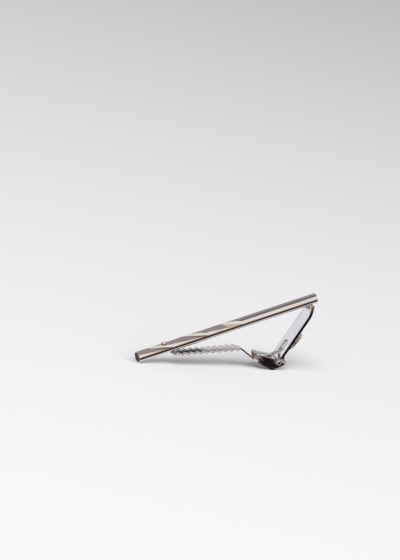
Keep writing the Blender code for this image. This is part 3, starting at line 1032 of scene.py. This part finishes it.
@dataclass(frozen=True)
class Panel:
    """A soft-edged panel of the studio's surround, which the polished metal mirrors.

    Each edge is an axis and two values between which the panel fades in.
    """

    name: str
    colour: tuple[float, float, float]
    edges: tuple[tuple[str, float, float], ...]

    def lay_over(
        self, tree: bpy.types.NodeTree, split: bpy.types.Node, under: object
    ) -> bpy.types.NodeSocket:
        """Mixes the panel over what lies under it.

        Args:
            tree: the world's node tree.
            split: the node that splits the direction into X, Y and Z.
            under: the colour, or its socket, before this panel.

        Returns:
            The colour's socket with the panel.
        """
        mask: object = 1.0
        for axis, begin, full in self.edges:
            edge = value_map(tree, split.outputs[axis], begin, full)
            mask = math_node(tree, "MULTIPLY", mask, edge)
        mix = tree.nodes.new("ShaderNodeMix")
        mix.data_type = "RGBA"
        mix.label = self.name
        tree.links.new(mask, mix.inputs[0])
        if isinstance(under, bpy.types.NodeSocket):
            tree.links.new(under, mix.inputs[6])
        else:
            mix.inputs[6].default_value = under
        mix.inputs[7].default_value = (*self.colour, 1.0)
        return mix.outputs[2]


SURROUND_PANELS = (
    Panel(
        "back left glow", (0.86, 0.86, 0.93),
        (("Y", 0.1, 0.4), ("Z", 0.75, 0.4), ("X", -0.1, -0.4)),
    ),
    Panel(
        "back right glow", (0.66, 0.66, 0.67),
        (("Y", 0.2, 0.5), ("Z", 0.7, 0.5), ("X", 0.34, 0.44)),
    ),
    Panel(
        "low back", (0.09, 0.09, 0.1),
        (("Y", 0.3, 0.6), ("Z", -0.2, -0.45), ("X", 0.3, 0.1)),
    ),
    Panel(
        "low side", (0.8, 0.79, 0.78),
        (("X", 0.25, 0.45), ("Z", -0.2, -0.4), ("Y", -0.58, -0.45)),
    ),
    Panel(
        "overhead", (0.19, 0.17, 0.18),
        (("Z", 0.8, 0.97), ("Y", 0.35, 0.1)),
    ),
    Panel(
        "front bank", (1.0, 1.0, 1.0),
        (("Y", -0.25, -0.4), ("Z", 0.08, 0.13), ("Z", 0.93, 0.86)),
    ),
    Panel(
        "copper", (0.46, 0.27, 0.18),
        (("Y", -0.42, -0.55), ("Z", 0.13, 0.08), ("X", 0.14, 0.3)),
    ),
    Panel(
        "low front", (0.012, 0.011, 0.014),
        (("Y", -0.42, -0.55), ("Z", -0.11, -0.19), ("X", 0.14, 0.3)),
    ),
    Panel(
        "front strip", (1.0, 0.98, 0.96),
        (("Y", -0.45, -0.6), ("Z", -0.5, -0.3), ("X", 0.3, 0.14)),
    ),
)


@dataclass
class Studio:
    """A pale floor, soft lights and the camera."""

    rod: RodFrame
    distance: float = 0.7
    lens: float = 219.0
    sensor: float = 36.0
    azimuth: float = -34.074
    elevation: float = 16.945
    roll: float = 14.849
    end_right_of_centre: float = 0.0332
    end_below_centre: float = 0.0052
    floor_size: float = 6.0
    floor_colour: tuple[float, float, float] = (0.66, 0.66, 0.67)
    nearest: float = 0.01
    furthest: float = 20.0
    surround: tuple[float, float, float] = (0.37, 0.345, 0.355)

    def build(self) -> None:
        """Sets up floor, world, lights and camera."""
        self._floor()
        self._world()
        self._lights()
        self._camera()

    def _floor(self) -> None:
        """A plain pale floor, kept out of the polished metal's reflections."""
        bpy.ops.mesh.primitive_plane_add(size=self.floor_size)
        floor = bpy.context.active_object
        floor.name = "studio_floor"
        floor.visible_glossy = False
        material = bpy.data.materials.new("pale_floor")
        material.use_nodes = True
        shader = material.node_tree.nodes["Principled BSDF"]
        shader.inputs["Base Color"].default_value = (*self.floor_colour, 1.0)
        shader.inputs["Roughness"].default_value = 0.9
        shader.inputs["Specular IOR Level"].default_value = 0.1
        floor.data.materials.append(material)

    def _world(self) -> None:
        """A soft grey surround with panels laid over it."""
        world = bpy.data.worlds.new("soft_surround")
        world.use_nodes = True
        bpy.context.scene.world = world
        tree = world.node_tree
        coords = tree.nodes.new("ShaderNodeTexCoord")
        split = tree.nodes.new("ShaderNodeSeparateXYZ")
        tree.links.new(coords.outputs["Generated"], split.inputs["Vector"])
        shade: object = (*self.surround, 1.0)
        for panel in SURROUND_PANELS:
            shade = panel.lay_over(tree, split, shade)
        tree.links.new(shade, tree.nodes["Background"].inputs["Color"])

    def _lights(self) -> None:
        """Two large soft lights above the clip."""
        for name, place, size, power in (
            ("key_softbox", (-0.35, -0.25, 0.75), 0.5, 5.5),
            ("fill_softbox", (0.5, -0.35, 0.6), 0.6, 2.5),
        ):
            light = bpy.data.lights.new(name, "AREA")
            light.size = size
            light.energy = power
            lamp = bpy.data.objects.new(name, light)
            bpy.context.scene.collection.objects.link(lamp)
            lamp.location = place
            lamp.rotation_euler = (-Vector(place)).to_track_quat("-Z", "Y").to_euler()
            lamp.visible_glossy = False

    def _camera(self) -> None:
        """Places the camera so that the rod's hinge end falls at its spot in the view."""
        turn = (
            Matrix.Rotation(math.radians(self.azimuth), 3, "Z")
            @ Matrix.Rotation(math.radians(90 - self.elevation), 3, "X")
            @ Matrix.Rotation(math.radians(self.roll), 3, "Z")
        )
        right, up, back = turn.col
        place = self.rod.end - right * self.end_right_of_centre
        place += up * self.end_below_centre + back * self.distance
        data = bpy.data.cameras.new("view")
        data.sensor_fit = "HORIZONTAL"
        data.sensor_width = self.sensor
        data.lens = self.lens
        data.clip_start = self.nearest
        data.clip_end = self.furthest
        camera = bpy.data.objects.new("view", data)
        bpy.context.scene.collection.objects.link(camera)
        camera.matrix_world = Matrix.Translation(place) @ turn.to_4x4()
        bpy.context.scene.camera = camera


# ------------------------------------------------------------------ assembly


def main() -> None:
    """Builds the clip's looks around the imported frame."""
    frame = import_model()
    bpy.context.scene.view_settings.view_transform = "Standard"
    rod_frame = RodFrame.from_record(frame["record"])
    shop = Workshop(frame["nodes"], rod_frame, PlatingWear())
    Studio(rod_frame).build()
    pieces = [FrontRod(shop).build()]
    for assembly in (CrystalSetting(shop), BackStrap(shop), JawLever(shop), WishboneSpring(shop)):
        pieces += assembly.build()
    for piece in pieces:
        LOG.info("%s: %d faces", piece.name, len(piece.data.polygons))


if __name__ == "__main__":
    main()
